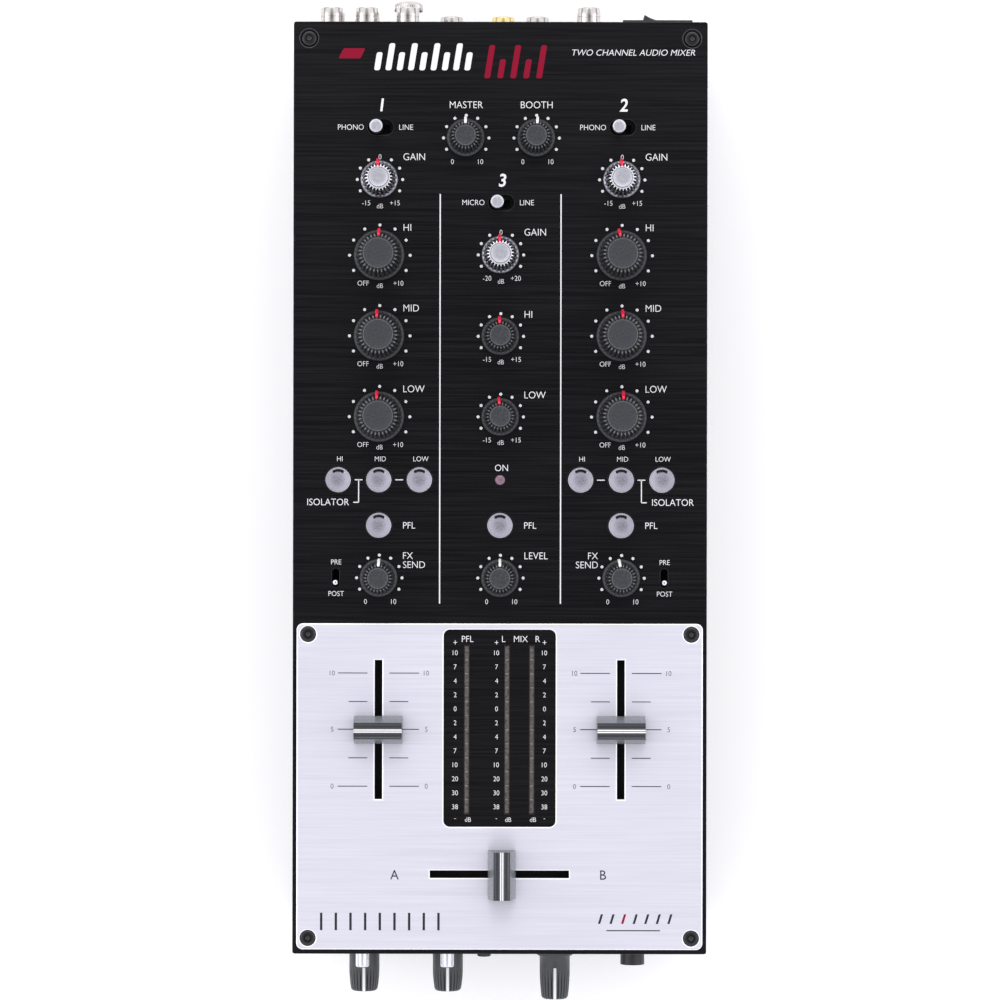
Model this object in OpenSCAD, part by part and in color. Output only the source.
// Compact DJ mixer: steel case, top panel, fader plate, knobs, faders, switches and sockets.
// Millimetres. +Z up, +Y towards the rear panel, origin under the middle of the case, on the table.

/* [Case] */
// Width of the case
case_w = 147; // [140:0.5:160]
// Length of the case from front to rear
case_l = 331; // [328:0.5:350]
// Height of the case without its feet
case_h = 80; // [78:0.5:95]
// Thickness of the folded steel walls
wall = 1.5; // [1:0.1:2]
// Thickness of the top panel
panel_t = 2; // [1.5:0.1:2.5]
// Radius of the top panel's corners
panel_corner_r = 1; // [0.5:0.1:2]
// Height of the rubber feet
foot_h = 4; // [3:0.5:8]
// Diameter of the rubber feet
foot_d = 15; // [12:0.5:18]

/* [Fader plate] */
// Width of the fader plate
plate_w = 144.2; // [142:0.1:145]
// Length of the fader plate
plate_l = 115.8; // [115:0.1:117]
// Thickness of the fader plate
plate_t = 1; // [0.8:0.1:1.5]
// Radius of the fader plate's corners
plate_corner_r = 2.3; // [1:0.1:4]
// Fader travel from end to end
fader_travel = 45; // [40:0.5:46]
// Width of the slots that the fader levers run in
fader_slot_w = 2.6; // [2.4:0.1:3]
// Length of a fader cap, across its direction of travel
cap_l = 17.6; // [15:0.1:20]
// Width of a fader cap, along its direction of travel
cap_w = 9.8; // [9:0.1:11]
// Height of a fader cap above the fader plate
cap_h = 9; // [8:0.1:12]

/* [Knobs] */
// Diameter of a small knob's skirt
small_d = 13.4; // [12:0.1:14]
// Height of a small knob's top above the top panel
small_h = 11.5; // [10:0.1:14]
// Diameter of a large knob's skirt
large_d = 17.9; // [16:0.1:19]
// Height of a large knob's top above the top panel
large_h = 14.5; // [12:0.1:16]
// Diameter of the knob shafts
shaft_d = 6; // [6:0.1:6.4]
// Gap between the knobs and the panel under them
knob_gap = 1; // [0.6:0.1:1.5]

/* [Switches and buttons] */
// Diameter of a push button
button_d = 9.1; // [8:0.1:10]
// Height of a push button above the top panel
button_h = 1.8; // [1.6:0.1:2.5]
// Travel of a push button
button_travel = 1.5; // [0.5:0.1:1.5]
// Diameter of a turned lever tip
tip_d = 4.8; // [4:0.1:5]
// Height of a turned lever tip above its panel
tip_h = 6.2; // [5:0.1:7]
// Travel of a selector lever
selector_travel = 2.9; // [2:0.1:3.2]
// Travel of a small two-position lever
mini_travel = 3.2; // [2:0.1:3.4]

/* [Hidden] */

$fn = 48;
hull_fn = 32;
cut = 0.5; // how far a cutting shape runs past the surface it cuts

// Heights
top_z = foot_h + case_h; // upper face of the top panel
under_z = top_z - panel_t; // lower face of the top panel
floor_z = foot_h + wall; // upper face of the case floor
plate_z = top_z + plate_t; // upper face of the fader plate
board_t = 1.6;
board_depth = 14; // from a panel's outer face to the face of the board behind it
front_y = -case_l / 2;
rear_y = case_l / 2;
side_x = case_w / 2;

// Columns of the three channels, and the rows of controls from rear to front
ch_x = [-43, 43, 0];
output_y = 124.2;
output_x = [-12.4, 12.6];
gain_y = [109.4, 109.4, 82.7];
high_y = [82.5, 82.5, 53.8];
mid_y = 53.9;
low_y = 25.2;
isolator_y = 2.8;
isolator_pitch = 14.4;
cue_y = -13.35;
send_y = -32;
source_x = [-42.6, 43.4, 0.3];
source_y = [128, 128, 101.3];
mini_x = 58.3;
mini_y = -32;
power_light_pos = [0, 2.8];

// Fader plate
plate_y = -106; // middle of the plate
fader_y = -85.8;
crossfader_y = -137.1;
crossfader_rest = 0.85; // how far the crossfader rests to the right of its middle
fader_slot_l = fader_travel + 4.3;
lever_t = 1.2;
lever_w = 4;
window_size = [39.7, 69.9];
window_y = -85.3;
window_r = 2.2;
meter_x = [-11.7, 2.6, 11.4];
meter_w = 1.46;
meter_pitch = 4.97;
meter_count = 12;
meter_y = -85.9;

// Screws of the top panel: rear pair, then the two pairs of the fader plate
panel_screw_x = 68;
rear_screw_y = 159.6;
plate_screw_y = [-52, -159.8];
screw_d = 3;
screw_head_d = 5.4;
rear_screw_sink = 0.25; // how far the rear pair lies below the panel's face

// Front panel
front_knob_x = [-48.8, -18.6];
front_knob_d = 10.75;
front_knob_l = 16.4;
phones_x = 20.1;
phones_knob_l = 19.2;
front_row_z = top_z - 27;
front_lever_x = [-47.6, -17.2]; // middles of the two lever slots
front_lever_z = top_z - 14;
front_button_x = -5.5;
front_button_d = 5;
front_button_l = 4;
phones_jack_x = 48.2;

// Rear panel
rca_rows = [top_z - 33, top_z - 46.5, top_z - 60];
rca_places = [
  [-61.4, 0], [-48.7, 0], [-33.8, 0], [32.1, 0], [-61.4, 1], [-48.7, 1], [32.1, 1],
  [-18.2, 2], [0.9, 2], [13.6, 2]
];
rca_d = 8.3;
rca_l = 9;
ground_pos = [-33.8, rca_rows[1]];
case_screw_x = [-3.9, 20.1];
case_screw_z = top_z - 52;
mic_jack_pos = [32.1, rca_rows[2]];
inlet_x = 56.4;
inlet_w = 27;
inlet_h = 48;
inlet_top_z = top_z - 15;
inlet_flange = 2.7;
cavity_size = [23.4, 15.6];
cavity_depth = 16;
inlet_depth = 26; // how far the inlet's body reaches into the case
cavity_z = inlet_top_z - 34;
pin_size = [2, 4];
pin_recess = 4.6;
rocker_z = inlet_top_z - 11.5;
rocker_size = [12, 9];
rocker_tilt = 10;
rocker_pivot = 0.5; // how far the pivot lies outside the rear panel's face
rocker_rise = 4.4;
ground_hole_d = 4.1;
ground_head_d = 10.5;
ground_head_l = 4;
ground_reach = 13.1;

// Jack sockets
jack_bushing_d = 8.7;
jack_bore_d = 6.5;
jack_body = [15, 13, 26];
phones_reach = 6.7;
mic_reach = 2;

// Parts on the boards
bushing_d = 6.8;
bushing_hole_d = 7.2;
pot_size = [11, 12, 7];
nut_d = 9.6;
fader_body_size = [62, 13, 8];
rail_d = 2;
rail_spread = 3.5;
rail_rise = 3;
switch_body = [7, 7, 6];
switch_floor = 1.5;
stem_d = 3;
slide_body = [13, 7, 7];
neck_w = 2;
power_light_d = 3.6;

// Holes and slots in the panels
button_hole_d = button_d + 0.5;
selector_slot = [tip_d + selector_travel + 1.5, tip_d + 0.9];
mini_slot = [6.7, 2.65];

// Knobs and levers
dark_tone = [0.22, 0.23, 0.25];
silver_tone = [0.82, 0.82, 0.86];
red_tone = [0.85, 0.12, 0.22];
white_tone = [0.95, 0.95, 0.95];
small_cap_d = 7;
large_cap_d = 10.6;
mini_tip_d = 2;
mini_tip_h = 2.5;
cap_gap = 0.8;

// Threaded tabs under the panel screws, and the feet
tab_size = [9, 10, 6];
foot_x = 58;
foot_y = 146;
foot_recess = 2.4;

// Board areas
main_board = [[-65, -146], [65, 150]];
front_board = [[-60, top_z - 38], [38, top_z - 5]];
socket_board = [[-68, top_z - 70], [40, top_z - 22]];
supply_board = [[-38, 10], [38, 66]];
spacer_places = [for (x = [-55, 55], y = [-139, -52, 14, 142]) [x, y]];

// A flat plate with rounded corners, its lower face at z = 0
module rounded_plate(size, r, h) {
  linear_extrude(h)
    hull()
      for (x = [-1, 1], y = [-1, 1])
        translate([x * (size[0] / 2 - r), y * (size[1] / 2 - r)])
          circle(r, $fn = hull_fn);
}

// A slot with round ends along X, through everything between z = 0 and h
module round_slot(length, width, h) {
  cube([length - width, width, h * 2], center = true);
  for (side = [-1, 1])
    translate([side * (length - width) / 2, 0, 0])
      cylinder(d = width, h = h * 2, center = true);
}

// Turns a shape made for the top panel (outward = +Z) onto the front or the rear panel
module on_front(x, z) {
  translate([x, front_y, z])
    rotate([90, 0, 0])
      children();
}

module on_rear(x, z) {
  translate([x, rear_y, z])
    rotate([-90, 0, 0])
      children();
}

module on_top(x, y) {
  translate([x, y, top_z])
    children();
}

// A round hole through whatever lies near z = 0
module hole(d) {
  cylinder(d = d, h = 20, center = true);
}

// A hole for a countersunk screw whose head ends at z = 0
module countersink() {
  translate([0, 0, -0.55])
    cylinder(d = screw_head_d + 0.2, h = 2);
  translate([0, 0, -1.75])
    cylinder(d1 = screw_d + 0.2, d2 = screw_head_d + 0.2, h = 1.2);
  translate([0, 0, -8])
    cylinder(d = screw_d + 0.3, h = 8);
}

// ---------------------------------------------------------------- places of the controls

function knob_places() = concat(
  [for (x = output_x) [x, output_y]],
  [for (c = [0:2]) [ch_x[c], gain_y[c]]],
  [for (c = [0:2]) [ch_x[c], high_y[c]]],
  [for (c = [0:1]) [ch_x[c], mid_y]],
  [for (c = [0:2]) [ch_x[c], low_y]],
  [for (c = [0:2]) [ch_x[c], send_y]]
);

function isolator_x(channel, n) = ch_x[channel] + (n - 1) * isolator_pitch;

function button_places() = concat(
  [for (c = [0:1], n = [0:2]) [isolator_x(c, n), isolator_y]],
  [for (c = [0:2]) [ch_x[c], cue_y]]
);

// ---------------------------------------------------------------- case

// Threaded tabs under the top panel, one below each panel screw

module panel_tabs() {
  for (side = [-1, 1], y = concat([rear_screw_y], plate_screw_y))
    translate([side * (side_x - wall - tab_size[0] / 2 + 0.2), y, under_z - tab_size[2] / 2])
      cube([tab_size[0] + 0.4, tab_size[1], tab_size[2]], center = true);
}

module bottom_case() {
  color([0.2, 0.19, 0.21])
    difference() {
      union() {
        difference() {
          translate([-side_x, front_y, foot_h])
            cube([case_w, case_l, under_z - foot_h]);
          translate([-side_x + wall, front_y + wall, floor_z])
            cube([case_w - 2 * wall, case_l - 2 * wall, case_h]);
        }
        panel_tabs();
      }
      for (side = [-1, 1], y = concat([rear_screw_y], plate_screw_y))
        translate([side * panel_screw_x, y, under_z - tab_size[2] / 2])
          cylinder(d = screw_d, h = tab_size[2] + cut, center = true);
      for (x = front_knob_x)
        on_front(x, front_row_z)
          hole(bushing_hole_d);
      on_front(phones_x, front_row_z)
        hole(bushing_hole_d);
      on_front(phones_jack_x, front_row_z)
        hole(jack_bushing_d + 0.2);
      on_front(front_button_x, front_row_z)
        hole(front_button_d + 0.5);
      for (x = front_lever_x)
        on_front(x, front_lever_z)
          round_slot(selector_slot[0], selector_slot[1], 10);
      for (place = rca_places)
        on_rear(place[0], rca_rows[place[1]])
          hole(rca_d + 0.2);
      on_rear(ground_pos[0], ground_pos[1])
        hole(ground_hole_d);
      for (x = case_screw_x)
        on_rear(x, case_screw_z)
          hole(screw_d + 0.2);
      on_rear(mic_jack_pos[0], mic_jack_pos[1])
        hole(jack_bushing_d + 0.2);
      translate([inlet_x, rear_y, inlet_top_z - inlet_h / 2])
        cube([inlet_w - 2, 20, inlet_h - 2], center = true);
      for (x = [-1, 1] * foot_x, y = [-1, 1] * foot_y)
        translate([x, y, foot_h])
          hole(screw_d + 0.2);
    }
}

module top_panel() {
  color([0.13, 0.13, 0.15])
    difference() {
      translate([0, 0, under_z])
        rounded_plate([case_w, case_l], panel_corner_r, panel_t);
      for (place = knob_places())
        on_top(place[0], place[1])
          hole(bushing_hole_d);
      for (place = button_places())
        on_top(place[0], place[1])
          hole(button_hole_d);
      for (c = [0:2])
        on_top(source_x[c], source_y[c])
          round_slot(selector_slot[0], selector_slot[1], 10);
      for (side = [-1, 1])
        on_top(side * mini_x, mini_y)
          rotate(90)
            round_slot(mini_slot[0], mini_slot[1], 10);
      on_top(power_light_pos[0], power_light_pos[1])
        hole(power_light_d + 0.1);
      for (c = [0:1])
        on_top(ch_x[c], fader_y)
          cube([fader_slot_w + 1, fader_slot_l + 1, 20], center = true);
      on_top(0, crossfader_y)
        cube([fader_slot_l + 1, fader_slot_w + 1, 20], center = true);
      for (x = meter_x)
        on_top(x, meter_y)
          cube([meter_w + 0.1, meter_count * meter_pitch + 0.1, 20], center = true);
      for (side = [-1, 1])
        on_top(side * panel_screw_x, rear_screw_y) {
          translate([0, 0, -rear_screw_sink])
            countersink();
          translate([0, 0, -0.6])
            cylinder(d1 = screw_head_d + 0.2, d2 = 7, h = 0.7);
        }
      for (side = [-1, 1], y = plate_screw_y)
        translate([side * panel_screw_x, y, plate_z])
          countersink();
    }
}

module fader_plate() {
  color([0.86, 0.86, 0.9])
    difference() {
      translate([0, plate_y, top_z])
        rounded_plate([plate_w, plate_l], plate_corner_r, plate_t);
      translate([0, window_y, top_z - cut])
        rounded_plate(window_size, window_r, plate_t + 2 * cut);
      for (c = [0:1])
        on_top(ch_x[c], fader_y)
          cube([fader_slot_w, fader_slot_l, 20], center = true);
      on_top(0, crossfader_y)
        cube([fader_slot_l, fader_slot_w, 20], center = true);
      for (side = [-1, 1], y = plate_screw_y)
        translate([side * panel_screw_x, y, plate_z])
          countersink();
    }
}

// A countersunk cross-head screw, its head's upper face at z = 0
module countersunk_screw(length) {
  difference() {
    union() {
      translate([0, 0, -0.5])
        cylinder(d = screw_head_d, h = 0.5);
      translate([0, 0, -1.6])
        cylinder(d1 = screw_d - 0.1, d2 = screw_head_d, h = 1.1);
      translate([0, 0, -length])
        cylinder(d = screw_d - 0.1, h = length - 1);
    }
    cross_recess(2.6);
  }
}

module cross_recess(size) {
  for (turn = [0, 90])
    rotate(turn)
      translate([-size / 2, -0.3, -1])
        cube([size, 0.6, 2]);
}

// A pan-head cross screw, the underside of its head at z = 0
module pan_screw(length, head_d) {
  difference() {
    union() {
      cylinder(d = head_d, h = 1.2);
      translate([0, 0, 1.2])
        cylinder(d1 = head_d, d2 = head_d * 0.6, h = 0.8);
      translate([0, 0, -length])
        cylinder(d = screw_d - 0.1, h = length + 0.1);
    }
    translate([0, 0, 2])
      cross_recess(2.6);
  }
}

module panel_screws() {
  color([0.1, 0.1, 0.1]) {
    for (side = [-1, 1])
      on_top(side * panel_screw_x, rear_screw_y)
        translate([0, 0, -rear_screw_sink])
          rotate(45 * side)
            countersunk_screw(8);
    for (side = [-1, 1], y = plate_screw_y)
      translate([side * panel_screw_x, y, plate_z])
        rotate(20 * side)
          countersunk_screw(9);
  }
}

module feet() {
  color([0.08, 0.08, 0.08])
    for (x = [-1, 1] * foot_x, y = [-1, 1] * foot_y)
      translate([x, y, 0])
        difference() {
          cylinder(d1 = foot_d - 1.6, d2 = foot_d, h = foot_h);
          translate([0, 0, -cut])
            cylinder(d = 7, h = foot_recess + cut);
          cylinder(d = screw_d + 0.2, h = foot_h * 3, center = true);
        }
}

module case_screws() {
  color([0.55, 0.55, 0.57]) {
    for (x = [-1, 1] * foot_x, y = [-1, 1] * foot_y)
      translate([x, y, foot_recess])
        rotate([180, 0, 0])
          pan_screw(7, 6);
    for (x = case_screw_x)
      on_rear(x, case_screw_z)
        pan_screw(7, 7);
  }
}

// ---------------------------------------------------------------- inside the case

module board_area(corners, t) {
  translate([corners[0][0], corners[0][1], 0])
    cube([corners[1][0] - corners[0][0], corners[1][1] - corners[0][1], t]);
}

module circuit_boards() {
  color([0.1, 0.35, 0.2]) {
    difference() {
      translate([0, 0, top_z - board_depth - board_t])
        board_area(main_board, board_t);
      for (place = spacer_places)
        on_top(place[0], place[1])
          cylinder(d = screw_d + 0.2, h = 60, center = true);
    }
    translate([0, front_y + board_depth + board_t, 0])
      rotate([90, 0, 0])
        board_area(front_board, board_t);
    difference() {
      translate([0, rear_y - board_depth - 2, 0])
        rotate([90, 0, 0])
          board_area(socket_board, board_t);
      on_rear(mic_jack_pos[0], mic_jack_pos[1])
        cube([jack_body[0] + 1, jack_body[1] + 30, 100], center = true);
    }
    translate([0, 0, floor_z + 6])
      board_area(supply_board, board_t);
  }
}

// Threaded spacers: main board to top panel, and supply board to floor
module board_spacers() {
  color([0.75, 0.7, 0.5]) {
    for (place = spacer_places)
      translate([place[0], place[1], top_z - board_depth])
        difference() {
          cylinder(d = 5.5, h = board_depth - panel_t);
          translate([0, 0, -cut])
            cylinder(d = screw_d, h = 8);
        }
    for (x = [-33, 33], y = [15, 61])
      translate([x, y, floor_z])
        cylinder(d = 5.5, h = 6);
  }
}

// One potentiometer, the panel's outer face at z = 0: body, threaded bushing, washer and nut
module potentiometer(has_nut) {
  difference() {
    union() {
      translate([-pot_size[0] / 2, -pot_size[1] / 2, -board_depth])
        cube(pot_size);
      translate([0, 0, -board_depth + pot_size[2]])
        cylinder(d = bushing_d, h = board_depth - pot_size[2] + 2.2);
    }
    translate([0, 0, -board_depth + 2])
      cylinder(d = shaft_d + 0.1, h = board_depth + 4);
  }
  if (has_nut)
    translate([0, 0, 0.1])
      difference() {
        cylinder(d = nut_d, h = 1.6, $fn = 6);
        cylinder(d = bushing_d + 0.1, h = 8, center = true);
      }
}

module potentiometers() {
  color([0.5, 0.5, 0.52]) {
    for (place = knob_places())
      on_top(place[0], place[1])
        potentiometer(true);
    for (x = concat(front_knob_x, [phones_x]))
      on_front(x, front_row_z)
        potentiometer(false);
  }
}

// A slotted steel fader body along X, hung under the panel, with two guide rails
module fader_body() {
  translate([0, 0, -fader_body_size[2] / 2])
    difference() {
      cube(fader_body_size, center = true);
      cube([fader_body_size[0] - 3, fader_body_size[1] - 3, fader_body_size[2] - 2], center = true);
      translate([0, 0, fader_body_size[2] / 2])
        cube([fader_slot_l, fader_slot_w, 6], center = true);
    }
  for (side = [-1, 1])
    translate([0, side * rail_spread, -fader_body_size[2] + rail_rise])
      rotate([0, 90, 0])
        cylinder(d = rail_d, h = fader_body_size[0] - 2, center = true);
}

module fader_bodies() {
  color([0.6, 0.6, 0.62]) {
    for (c = [0:1])
      translate([ch_x[c], fader_y, under_z])
        rotate(90)
          fader_body();
    translate([0, crossfader_y, under_z])
      fader_body();
  }
}

// A push switch on its board, the panel's outer face at z = 0
module push_switch() {
  difference() {
    translate([-switch_body[0] / 2, -switch_body[1] / 2, -board_depth])
      cube(switch_body);
    translate([0, 0, -board_depth + switch_floor])
      cylinder(d = stem_d + 0.6, h = switch_body[2]);
  }
}

// The stem of a button, from its flange into the switch, with room below it to travel
module button_stem(cover_t) {
  bottom = switch_floor + button_travel + 1 - board_depth;
  translate([0, 0, bottom])
    cylinder(d = stem_d, h = -cover_t - 1 - bottom);
}

module push_switches() {
  color([0.15, 0.15, 0.16]) {
    for (place = button_places())
      on_top(place[0], place[1])
        push_switch();
    on_front(front_button_x, front_row_z)
      push_switch();
  }
}

// A slide switch on its board, open along X for its lever's neck
module slide_switch(travel) {
  difference() {
    translate([-slide_body[0] / 2, -slide_body[1] / 2, -board_depth])
      cube(slide_body);
    translate([0, 0, -board_depth + slide_body[2]])
      cube([neck_w + travel + 1.5, neck_w + 0.8, 8], center = true);
  }
}

module slide_switches() {
  color([0.62, 0.62, 0.64]) {
    for (c = [0:2])
      on_top(source_x[c], source_y[c])
        slide_switch(selector_travel);
    for (side = [-1, 1])
      on_top(side * mini_x, mini_y)
        rotate(90)
          slide_switch(mini_travel);
    for (x = front_lever_x)
      on_front(x, front_lever_z)
        slide_switch(selector_travel);
  }
}

module meter_lights() {
  color([0.5, 0.45, 0.42])
    for (x = meter_x, n = [0:meter_count - 1])
      translate([x, meter_y + (n - (meter_count - 1) / 2) * meter_pitch, top_z - 4])
        translate([-meter_w / 2, -meter_pitch / 2 + 0.15, 0])
          cube([meter_w, meter_pitch - 0.3, 3.9]);
}

module power_light() {
  color([0.7, 0.5, 0.6])
    on_top(power_light_pos[0], power_light_pos[1]) {
      translate([0, 0, -5])
        cylinder(d = power_light_d, h = 5.2);
      translate([0, 0, 0.2])
        intersection() {
          translate([0, 0, -2.9])
            sphere(d = 7);
          cylinder(d = power_light_d, h = 2);
        }
      translate([0, 0, -5.8])
        cylinder(d = power_light_d + 0.8, h = 0.8);
    }
}

// ---------------------------------------------------------------- rear panel

// RCA shell, the panel's outer face at z = 0
module rca_shell() {
  difference() {
    union() {
      translate([0, 0, -board_depth + 4])
        cylinder(d = rca_d, h = rca_l + board_depth - 4);
      cylinder(d = rca_d + 2.2, h = 0.8);
    }
    translate([0, 0, -board_depth])
      cylinder(d = rca_d - 1.2, h = rca_l + board_depth + cut);
  }
}

module rca_sockets() {
  color([0.8, 0.8, 0.82])
    for (place = rca_places)
      on_rear(place[0], rca_rows[place[1]])
        rca_shell();
}

module rca_insulators() {
  color([0.85, 0.85, 0.85])
    for (place = rca_places)
      on_rear(place[0], rca_rows[place[1]]) {
        difference() {
          translate([0, 0, -board_depth + 4])
            cylinder(d = rca_d - 1.3, h = rca_l + board_depth - 4.8);
          translate([0, 0, rca_l - 8])
            cylinder(d = 3.3, h = 10);
        }
        translate([-5.5, -5.5, -board_depth - 1.9])
          cube([11, 11, 5.8]);
      }
}

// Mains inlet with a switch opening above it, the panel's outer face at z = 0, X to the right
module inlet_outline() {
  half = cavity_size / 2;
  chamfer = 4.5;
  polygon([
    [-half[0], -half[1]], [half[0], -half[1]], [half[0], half[1] - chamfer],
    [half[0] - chamfer, half[1]], [-half[0] + chamfer, half[1]], [-half[0], half[1] - chamfer]
  ]);
}

module inlet_pins(extra) {
  for (pin = [[-7, -2], [0, 2], [7, -2]])
    translate([inlet_x + pin[0], rear_y + inlet_flange - pin_recess, cavity_z + pin[1]])
      rotate([90, 0, 0])
        translate([-pin_size[0] / 2 - extra, -pin_size[1] / 2 - extra, 0])
          cube([pin_size[0] + 2 * extra, pin_size[1] + 2 * extra, inlet_depth + 2]);
}

module power_inlet() {
  low_z = inlet_top_z - inlet_h;
  color([0.09, 0.09, 0.1]) {
    difference() {
      translate([inlet_x, rear_y, 0])
        union() {
          translate([-inlet_w / 2, 0, low_z])
            cube([inlet_w, inlet_flange - 1, inlet_h]);
          translate([-inlet_w / 2 + 1, 0, low_z + 1])
            cube([inlet_w - 2, inlet_flange, inlet_h - 2]);
          translate([-inlet_w / 2 + 1.2, -inlet_depth, low_z + 1.2])
            cube([inlet_w - 2.4, inlet_depth + 1, inlet_h - 2.4]);
        }
      translate([inlet_x, rear_y + inlet_flange + cut, cavity_z])
        rotate([90, 0, 0])
          linear_extrude(cavity_depth + cut)
            inlet_outline();
      translate([inlet_x - rocker_size[0] / 2 - 0.5, rear_y - 12, rocker_z - rocker_size[1] / 2 - 0.5])
        cube([rocker_size[0] + 1, 20, rocker_size[1] + 1]);
      inlet_pins(0.02);
    }
    translate([inlet_x, rear_y + rocker_pivot, rocker_z])
      cylinder(d = 2, h = rocker_size[1] + 3, center = true);
  }
  color([0.8, 0.8, 0.75])
    inlet_pins(0);
}

// A power rocker, tilted about a vertical line through its middle so that its left end stands out
module power_rocker() {
  color([0.12, 0.12, 0.13])
    translate([inlet_x, rear_y + rocker_pivot, rocker_z])
      rotate(-rocker_tilt)
        difference() {
          translate([-rocker_size[0] / 2 + 0.6, -5, -rocker_size[1] / 2])
            cube([rocker_size[0] - 1.2, rocker_rise + 5, rocker_size[1]]);
          translate([0, rocker_rise - 1.5 + 12, 0])
            cylinder(r = 12, h = 30, center = true);
          cylinder(d = 2.1, h = 30, center = true);
        }
}

module transformer() {
  core = [50, 42, 34];
  color([0.35, 0.35, 0.37])
    translate([-10, 96, floor_z])
      difference() {
        translate([-core[0] / 2, -core[1] / 2, 0])
          cube(core);
        for (side = [-1, 1])
          translate([side * 13, 0, core[2] / 2])
            cube([9, core[1] + 1, 18], center = true);
      }
  color([0.8, 0.65, 0.2])
    translate([-10, 96, floor_z + core[2] / 2])
      difference() {
        cube([34, core[1] + 14, 17], center = true);
        cube([17.4, core[1] + 0.4, 30], center = true);
      }
}

// A 6.35 mm jack socket, the panel's outer face at z = 0
module jack_socket(reach) {
  difference() {
    union() {
      translate([0, 0, -3])
        cylinder(d = jack_bushing_d, h = reach + 3);
      translate([-jack_body[0] / 2, -jack_body[1] / 2, -jack_body[2] - 2])
        cube(jack_body);
    }
    translate([0, 0, -jack_body[2]])
      cylinder(d = jack_bore_d, h = jack_body[2] + reach + cut);
  }
}

module jack_sockets() {
  color([0.12, 0.12, 0.13]) {
    on_front(phones_jack_x, front_row_z)
      jack_socket(phones_reach);
    on_rear(mic_jack_pos[0], mic_jack_pos[1])
      jack_socket(mic_reach);
  }
}

// Knurled ground thumbscrew on a threaded post
module ground_screw() {
  color([0.85, 0.85, 0.87])
    on_rear(ground_pos[0], ground_pos[1]) {
      translate([0, 0, ground_reach - ground_head_l])
        cylinder(d = ground_head_d, h = ground_head_l - 1);
      translate([0, 0, ground_reach - 1])
        cylinder(d1 = ground_head_d, d2 = ground_head_d - 3, h = 1);
      translate([0, 0, -4])
        cylinder(d = 4, h = ground_reach);
    }
}

// ---------------------------------------------------------------- knobs

// A knob on its shaft: skirt, tapered body, pointer fin and hub. The panel's face is at z = 0.
module knob(skirt_d, cap_d, h, turn, tone, pointer) {
  skirt_t = 1.4;
  root_d = skirt_d - 1.6;
  hollow_h = 2.4;
  color(tone)
    rotate(turn) {
      difference() {
        union() {
          translate([0, 0, knob_gap])
            cylinder(d = skirt_d, h = skirt_t);
          translate([0, 0, knob_gap + skirt_t])
            cylinder(d1 = root_d, d2 = cap_d + 1, h = h - knob_gap - skirt_t - 1);
          translate([0, 0, h - 1])
            cylinder(d = cap_d, h = 1);
        }
        cylinder(d = nut_d + 0.8, h = hollow_h);
        cylinder(d = shaft_d + 0.04, h = h - 2);
      }
    }
  color(pointer)
    rotate(turn)
      difference() {
        translate([-0.55, cap_d / 2 + 0.1, knob_gap + skirt_t])
          cube([1.1, (skirt_d - cap_d) / 2 - 0.2, h - knob_gap - skirt_t - 3]);
        cylinder(d = cap_d + 0.1, h = 40, center = true);
      }
  color([0.7, 0.7, 0.72])
    knob_shaft(h);
}

module knob_shaft(h) {
  translate([0, 0, -board_depth + 2.5])
    cylinder(d = shaft_d, h = board_depth - 2.5 + h - 2.2);
}

module small_knob(x, y, turn, tone, pointer) {
  on_top(x, y)
    knob(small_d, small_cap_d, small_h, turn, tone, pointer);
}

module large_knob(x, y, turn) {
  on_top(x, y)
    knob(large_d, large_cap_d, large_h, turn, dark_tone, red_tone);
}

module master_knob() {
  small_knob(output_x[0], output_y, 0, dark_tone, white_tone);
}

module booth_knob() {
  small_knob(output_x[1], output_y, -4, dark_tone, white_tone);
}

module gain_knob_1() {
  small_knob(ch_x[0], gain_y[0], 4, silver_tone, red_tone);
}

module gain_knob_2() {
  small_knob(ch_x[1], gain_y[1], 3, silver_tone, red_tone);
}

module gain_knob_3() {
  small_knob(ch_x[2], gain_y[2], 3, silver_tone, red_tone);
}

module high_knob_1() {
  large_knob(ch_x[0], high_y[0], -1);
}

module high_knob_2() {
  large_knob(ch_x[1], high_y[1], 8);
}

module high_knob_3() {
  small_knob(ch_x[2], high_y[2], 3, dark_tone, red_tone);
}

module mid_knob_1() {
  large_knob(ch_x[0], mid_y, 4);
}

module mid_knob_2() {
  large_knob(ch_x[1], mid_y, -1);
}

module low_knob_1() {
  large_knob(ch_x[0], low_y, 4);
}

module low_knob_2() {
  large_knob(ch_x[1], low_y, -3);
}

module low_knob_3() {
  small_knob(ch_x[2], low_y, 4, dark_tone, red_tone);
}

module send_knob_1() {
  small_knob(ch_x[0], send_y, -2, dark_tone, white_tone);
}

module send_knob_2() {
  small_knob(ch_x[1], send_y, 8, dark_tone, white_tone);
}

module level_knob_3() {
  small_knob(ch_x[2], send_y, 0, dark_tone, white_tone);
}

// A long tapered knob for the front panel, with an optional collar at its root
module front_knob(x, length, collar_d) {
  on_front(x, front_row_z) {
    color(dark_tone)
      difference() {
        union() {
          translate([0, 0, knob_gap])
            cylinder(d = front_knob_d + 0.2, h = length / 2 - knob_gap);
          translate([0, 0, length / 2])
            cylinder(d1 = front_knob_d + 0.2, d2 = front_knob_d - 2.2, h = length / 2);
          translate([0, 0, knob_gap])
            cylinder(d = collar_d, h = 2.6);
        }
        cylinder(d = bushing_d + 0.6, h = 2.4);
        cylinder(d = shaft_d + 0.04, h = length - 2);
      }
    color([0.7, 0.7, 0.72])
      knob_shaft(length);
  }
}

module front_knob_left() {
  front_knob(front_knob_x[0], front_knob_l, front_knob_d);
}

module front_knob_middle() {
  front_knob(front_knob_x[1], front_knob_l, front_knob_d);
}

module phones_knob() {
  front_knob(phones_x, phones_knob_l, 12.9);
}

// ---------------------------------------------------------------- levers and buttons

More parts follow.
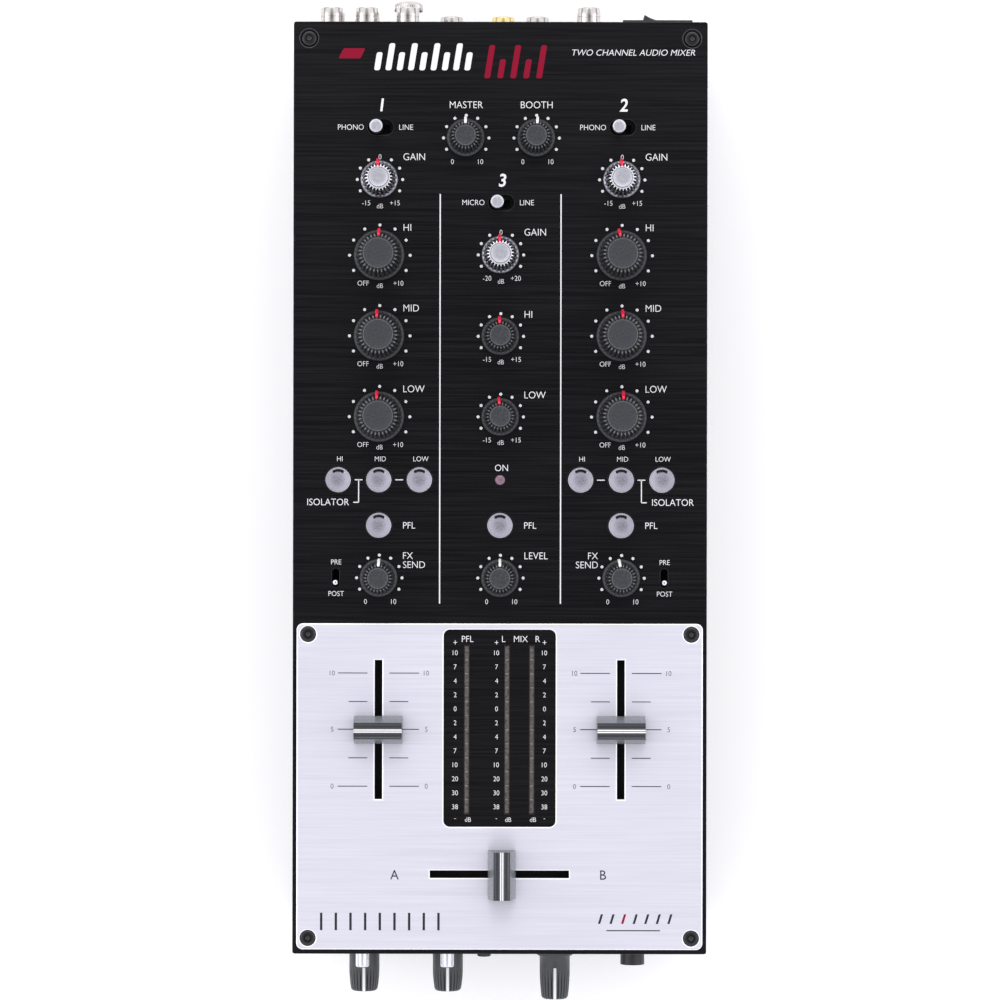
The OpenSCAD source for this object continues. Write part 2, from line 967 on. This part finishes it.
// A turned round tip on a square neck, resting at the left end of its slot
module round_lever() {
  color([0.85, 0.85, 0.88])
    translate([-selector_travel / 2, 0, 0]) {
      translate([0, 0, -board_depth + slide_body[2] + 0.6])
        cylinder(d = tip_d, h = board_depth - slide_body[2] - 0.6 + tip_h - 0.4);
      translate([0, 0, tip_h - 0.4])
        cylinder(d1 = tip_d, d2 = tip_d - 0.8, h = 0.4);
      translate([-neck_w / 2, -neck_w / 2, -board_depth + slide_body[2] - 3])
        cube([neck_w, neck_w, 5]);
    }
}

module source_lever_1() {
  on_top(source_x[0], source_y[0])
    round_lever();
}

module source_lever_2() {
  on_top(source_x[1], source_y[1])
    round_lever();
}

module source_lever_3() {
  on_top(source_x[2], source_y[2])
    round_lever();
}

module front_lever_left() {
  on_front(front_lever_x[0], front_lever_z)
    round_lever();
}

module front_lever_middle() {
  on_front(front_lever_x[1], front_lever_z)
    round_lever();
}

// A small lever that slides from front to rear, resting at the front end of its slot
module mini_lever(x) {
  color([0.8, 0.8, 0.83])
    on_top(x, mini_y)
      translate([0, -mini_travel / 2, -board_depth + slide_body[2] - 3])
        cylinder(d = mini_tip_d, h = board_depth - slide_body[2] + 3 + mini_tip_h);
}

module pre_post_lever_1() {
  mini_lever(-mini_x);
}

module pre_post_lever_2() {
  mini_lever(mini_x);
}

// A round metal push button with a crescent light window and a guide flange under the panel
module push_button(x, y) {
  dish_r = 30;
  color([0.72, 0.71, 0.76])
    on_top(x, y)
      difference() {
        union() {
          translate([0, 0, -panel_t - 1.4])
            cylinder(d = button_d, h = panel_t + 1.4 + button_h);
          translate([0, 0, -panel_t - 1.4])
            cylinder(d = button_d + 1.6, h = 1);
          button_stem(panel_t);
        }
        translate([0, 0, button_h + dish_r - 0.3])
          sphere(r = dish_r);
        intersection() {
          translate([0, 0, button_h - 0.8])
            difference() {
              cylinder(d = button_d - 1.9, h = 2);
              translate([0, -0.9, -cut])
                cylinder(d = button_d - 2.1, h = 4);
            }
          translate([-2.2, 1, 0])
            cube([4.4, 5, 10]);
        }
      }
}

module high_button_1() {
  push_button(isolator_x(0, 0), isolator_y);
}

module mid_button_1() {
  push_button(isolator_x(0, 1), isolator_y);
}

module low_button_1() {
  push_button(isolator_x(0, 2), isolator_y);
}

module high_button_2() {
  push_button(isolator_x(1, 0), isolator_y);
}

module mid_button_2() {
  push_button(isolator_x(1, 1), isolator_y);
}

module low_button_2() {
  push_button(isolator_x(1, 2), isolator_y);
}

module cue_button_1() {
  push_button(ch_x[0], cue_y);
}

module cue_button_2() {
  push_button(ch_x[1], cue_y);
}

module cue_button_3() {
  push_button(ch_x[2], cue_y);
}

module front_button() {
  color([0.1, 0.1, 0.1])
    on_front(front_button_x, front_row_z) {
      translate([0, 0, -wall - 1.4])
        cylinder(d = front_button_d, h = wall + 1.4 + front_button_l);
      translate([0, 0, -wall - 1.4])
        cylinder(d = front_button_d + 1.6, h = 1);
      button_stem(wall);
    }
}

// ---------------------------------------------------------------- faders

// A fader cap with sloped flanks and two finger scoops beside its centre line, on a lever.
// It runs along X; its middle is at the origin and the fader plate's face is at z = 0.
module fader_lever() {
  flank = 1.7;
  top_w = cap_w - 2 * flank;
  scoop_r = 3;
  color([0.3, 0.31, 0.33])
    difference() {
      rotate([90, 0, 0])
        linear_extrude(cap_l, center = true)
          polygon([
            [-cap_w / 2, cap_gap], [cap_w / 2, cap_gap], [cap_w / 2, cap_gap + 1.2],
            [top_w / 2, cap_h], [-top_w / 2, cap_h], [-cap_w / 2, cap_gap + 1.2]
          ]);
      for (side = [-1, 1])
        translate([side * 1.85, 0, cap_h + scoop_r - 0.45])
          rotate([90, 0, 0])
            cylinder(r = scoop_r, h = cap_l + 1, center = true);
      translate([-lever_w / 2 - 0.02, -lever_t / 2 - 0.02, 0])
        cube([lever_w + 0.04, lever_t + 0.04, 6.5]);
    }
  color([0.7, 0.7, 0.72])
    fader_carriage();
}

// The lever and the carriage that slides on the fader's two rails
module fader_carriage() {
  rail_z = -plate_t - panel_t - fader_body_size[2] + rail_rise;
  translate([-lever_w / 2, -lever_t / 2, rail_z])
    cube([lever_w, lever_t, 6.4 - rail_z]);
  difference() {
    translate([-5, -4.7, rail_z - 1.7])
      cube([10, 9.4, 3.4]);
    for (side = [-1, 1])
      translate([0, side * rail_spread, rail_z])
        rotate([0, 90, 0])
          cylinder(d = rail_d + 0.1, h = 30, center = true);
  }
}

module channel_fader(channel) {
  translate([ch_x[channel], fader_y, plate_z])
    rotate(90)
      fader_lever();
}

module channel_fader_1() {
  channel_fader(0);
}

module channel_fader_2() {
  channel_fader(1);
}

module crossfader() {
  translate([crossfader_rest, crossfader_y, plate_z])
    fader_lever();
}

bottom_case();
top_panel();
fader_plate();
panel_screws();
case_screws();
feet();
circuit_boards();
board_spacers();
potentiometers();
fader_bodies();
push_switches();
slide_switches();
meter_lights();
power_light();
rca_sockets();
rca_insulators();
power_inlet();
transformer();
jack_sockets();
master_knob();
booth_knob();
gain_knob_1();
gain_knob_2();
gain_knob_3();
high_knob_1();
high_knob_2();
high_knob_3();
mid_knob_1();
mid_knob_2();
low_knob_1();
low_knob_2();
low_knob_3();
send_knob_1();
send_knob_2();
level_knob_3();
source_lever_1();
source_lever_2();
source_lever_3();
pre_post_lever_1();
pre_post_lever_2();
high_button_1();
mid_button_1();
low_button_1();
high_button_2();
mid_button_2();
low_button_2();
cue_button_1();
cue_button_2();
cue_button_3();
channel_fader_1();
channel_fader_2();
crossfader();
front_knob_left();
front_knob_middle();
phones_knob();
front_lever_left();
front_lever_middle();
front_button();
power_rocker();
ground_screw();
